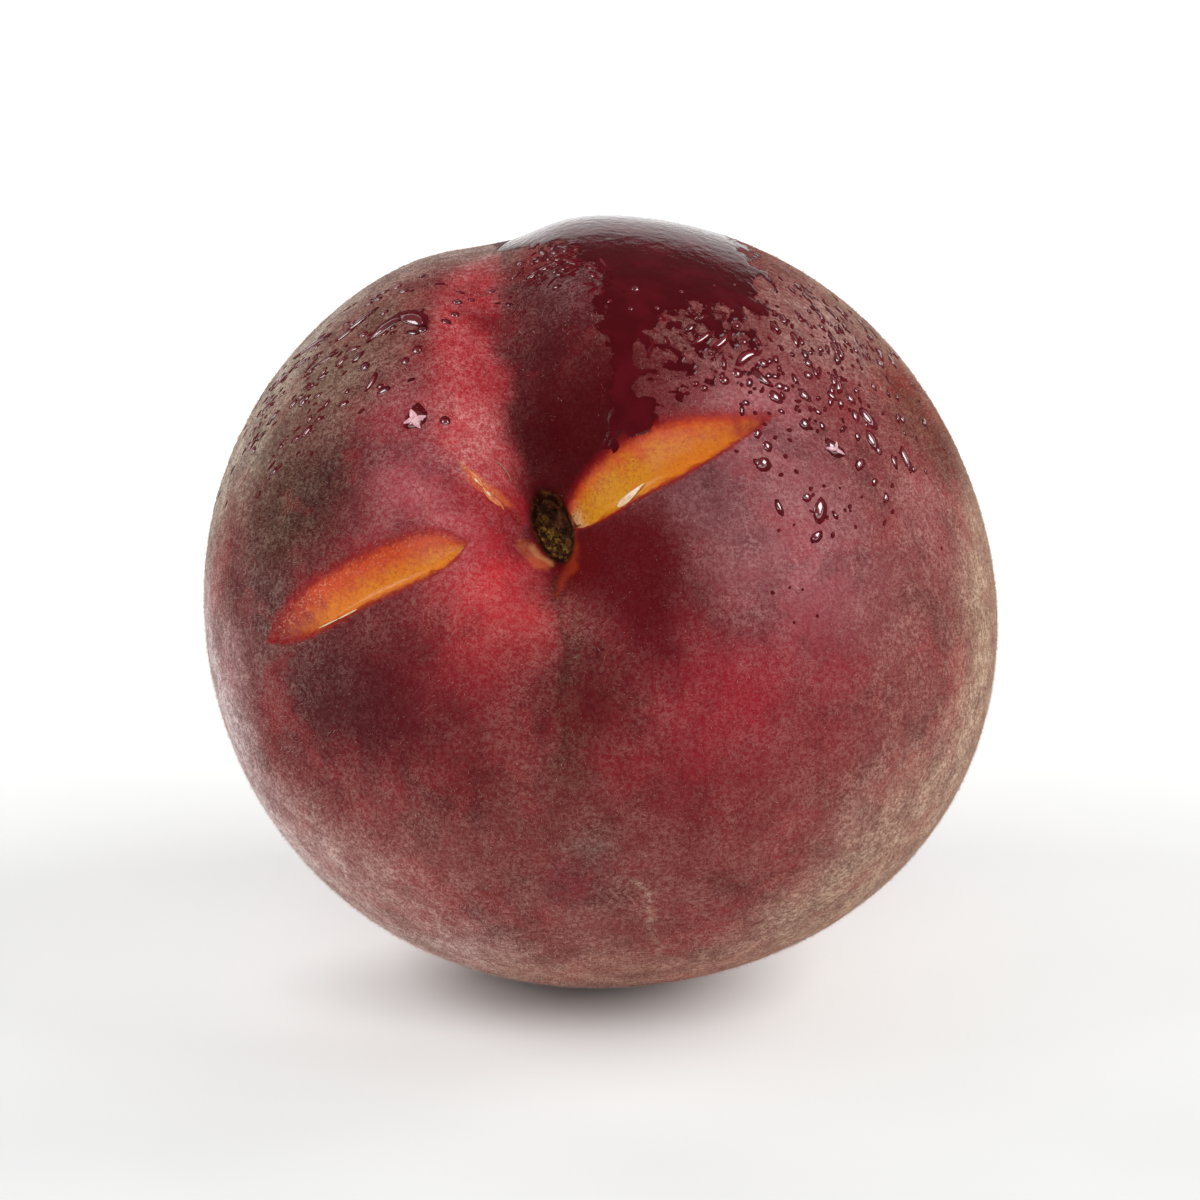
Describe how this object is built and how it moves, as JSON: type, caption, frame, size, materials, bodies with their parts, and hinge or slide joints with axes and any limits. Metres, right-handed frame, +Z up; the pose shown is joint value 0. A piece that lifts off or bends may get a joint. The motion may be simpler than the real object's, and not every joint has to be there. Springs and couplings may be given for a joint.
{
  "type": "peach",
  "caption": "Whole ripe peach with a suture, a stem funnel and two branch marks, lying on one cheek with its stem end tipped up.",
  "frame": {"origin": "bottom centre of the fruit's outer box, on the flat spot that it lies on", "axes": "+Z up; the stem end faces -Y and is tipped up, and the suture runs over the top towards +Y"},
  "size_m": [0.0738, 0.0702, 0.0711],
  "materials": {
    "peach_skin": "velvety fuzz over crimson, maroon and purple-grey skin, with orange-yellow branch marks and a wet patch"
  },
  "bodies": {
    "root": {"peach": "peach_skin"}
  },
  "joints": []
}
